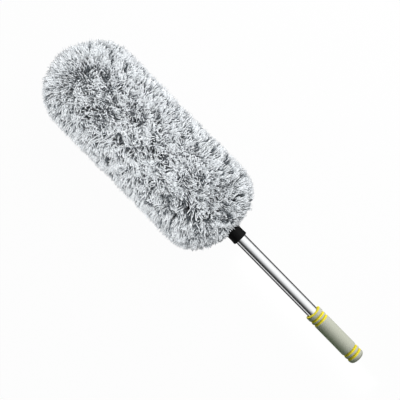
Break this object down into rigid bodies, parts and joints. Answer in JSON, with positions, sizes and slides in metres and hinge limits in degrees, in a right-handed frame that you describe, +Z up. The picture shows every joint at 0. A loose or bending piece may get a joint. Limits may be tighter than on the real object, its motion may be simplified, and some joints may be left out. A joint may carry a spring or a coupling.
{
  "type": "car duster",
  "caption": "Telescopic car duster: long shaggy fibre head sewn over a flat frame, black neck collar, twist-lock polished steel pole and two-colour foam grip.",
  "frame": {"origin": "middle of the closed duster's length and width, on the face that it lies on", "axes": "+X along the pole from the end of the grip to the tip of the head, +Z up through the thin way of the head, +Y across the head"},
  "size_m": [0.6919, 0.1666, 0.1108],
  "materials": {
    "polished_steel": "polished",
    "plain_steel": "satin",
    "black_plastic": "satin",
    "white_nylon": "satin",
    "frame_plastic": "matte",
    "grey_foam": "matte",
    "yellow_foam": "matte",
    "pile": "matte",
    "hem_tape": "matte",
    "elastic": "matte"
  },
  "bodies": {
    "handle": {"grip_end_cup": "grey_foam", "grip_rear_ring": "grey_foam", "grip_sleeve": "grey_foam", "grip_front_ring": "grey_foam", "grip_front_band": "grey_foam", "grip_core": "yellow_foam", "tube_end_plug": "black_plastic", "outer_tube": "polished_steel", "mouth_bush": "black_plastic"},
    "expander": {"expander_sleeve": "white_nylon"},
    "cone": {"cone_nut": "white_nylon"},
    "head": {"inner_tube": "polished_steel", "lock_plug": "white_nylon", "lock_screw": "plain_steel", "stop_nut": "plain_steel", "neck_collar": "black_plastic", "head_frame": "frame_plastic", "neck_screw": "plain_steel", "hem_band": "hem_tape", "hem_elastic": "elastic", "pile_panel_upper": "pile", "pile_panel_lower": "pile"}
  },
  "joints": [
    {"name": "pole_slide", "type": "slide", "parent": "handle", "child": "expander", "axis": [1, 0, 0], "range_m": [0, 0.2]},
    {"name": "pole_twist", "type": "hinge", "parent": "expander", "child": "head", "pos_m": [0, 0, 0.05513], "axis": [1, 0, 0], "range_deg": [0, 270]},
    {"name": "cone_travel", "type": "slide", "parent": "expander", "child": "cone", "axis": [-1, 0, 0], "range_m": [0, 0.0015]}
  ],
  "couplings": [
    {"joint": "cone_travel", "follows": "pole_twist", "m_per_rad": 0.0003183}
  ]
}
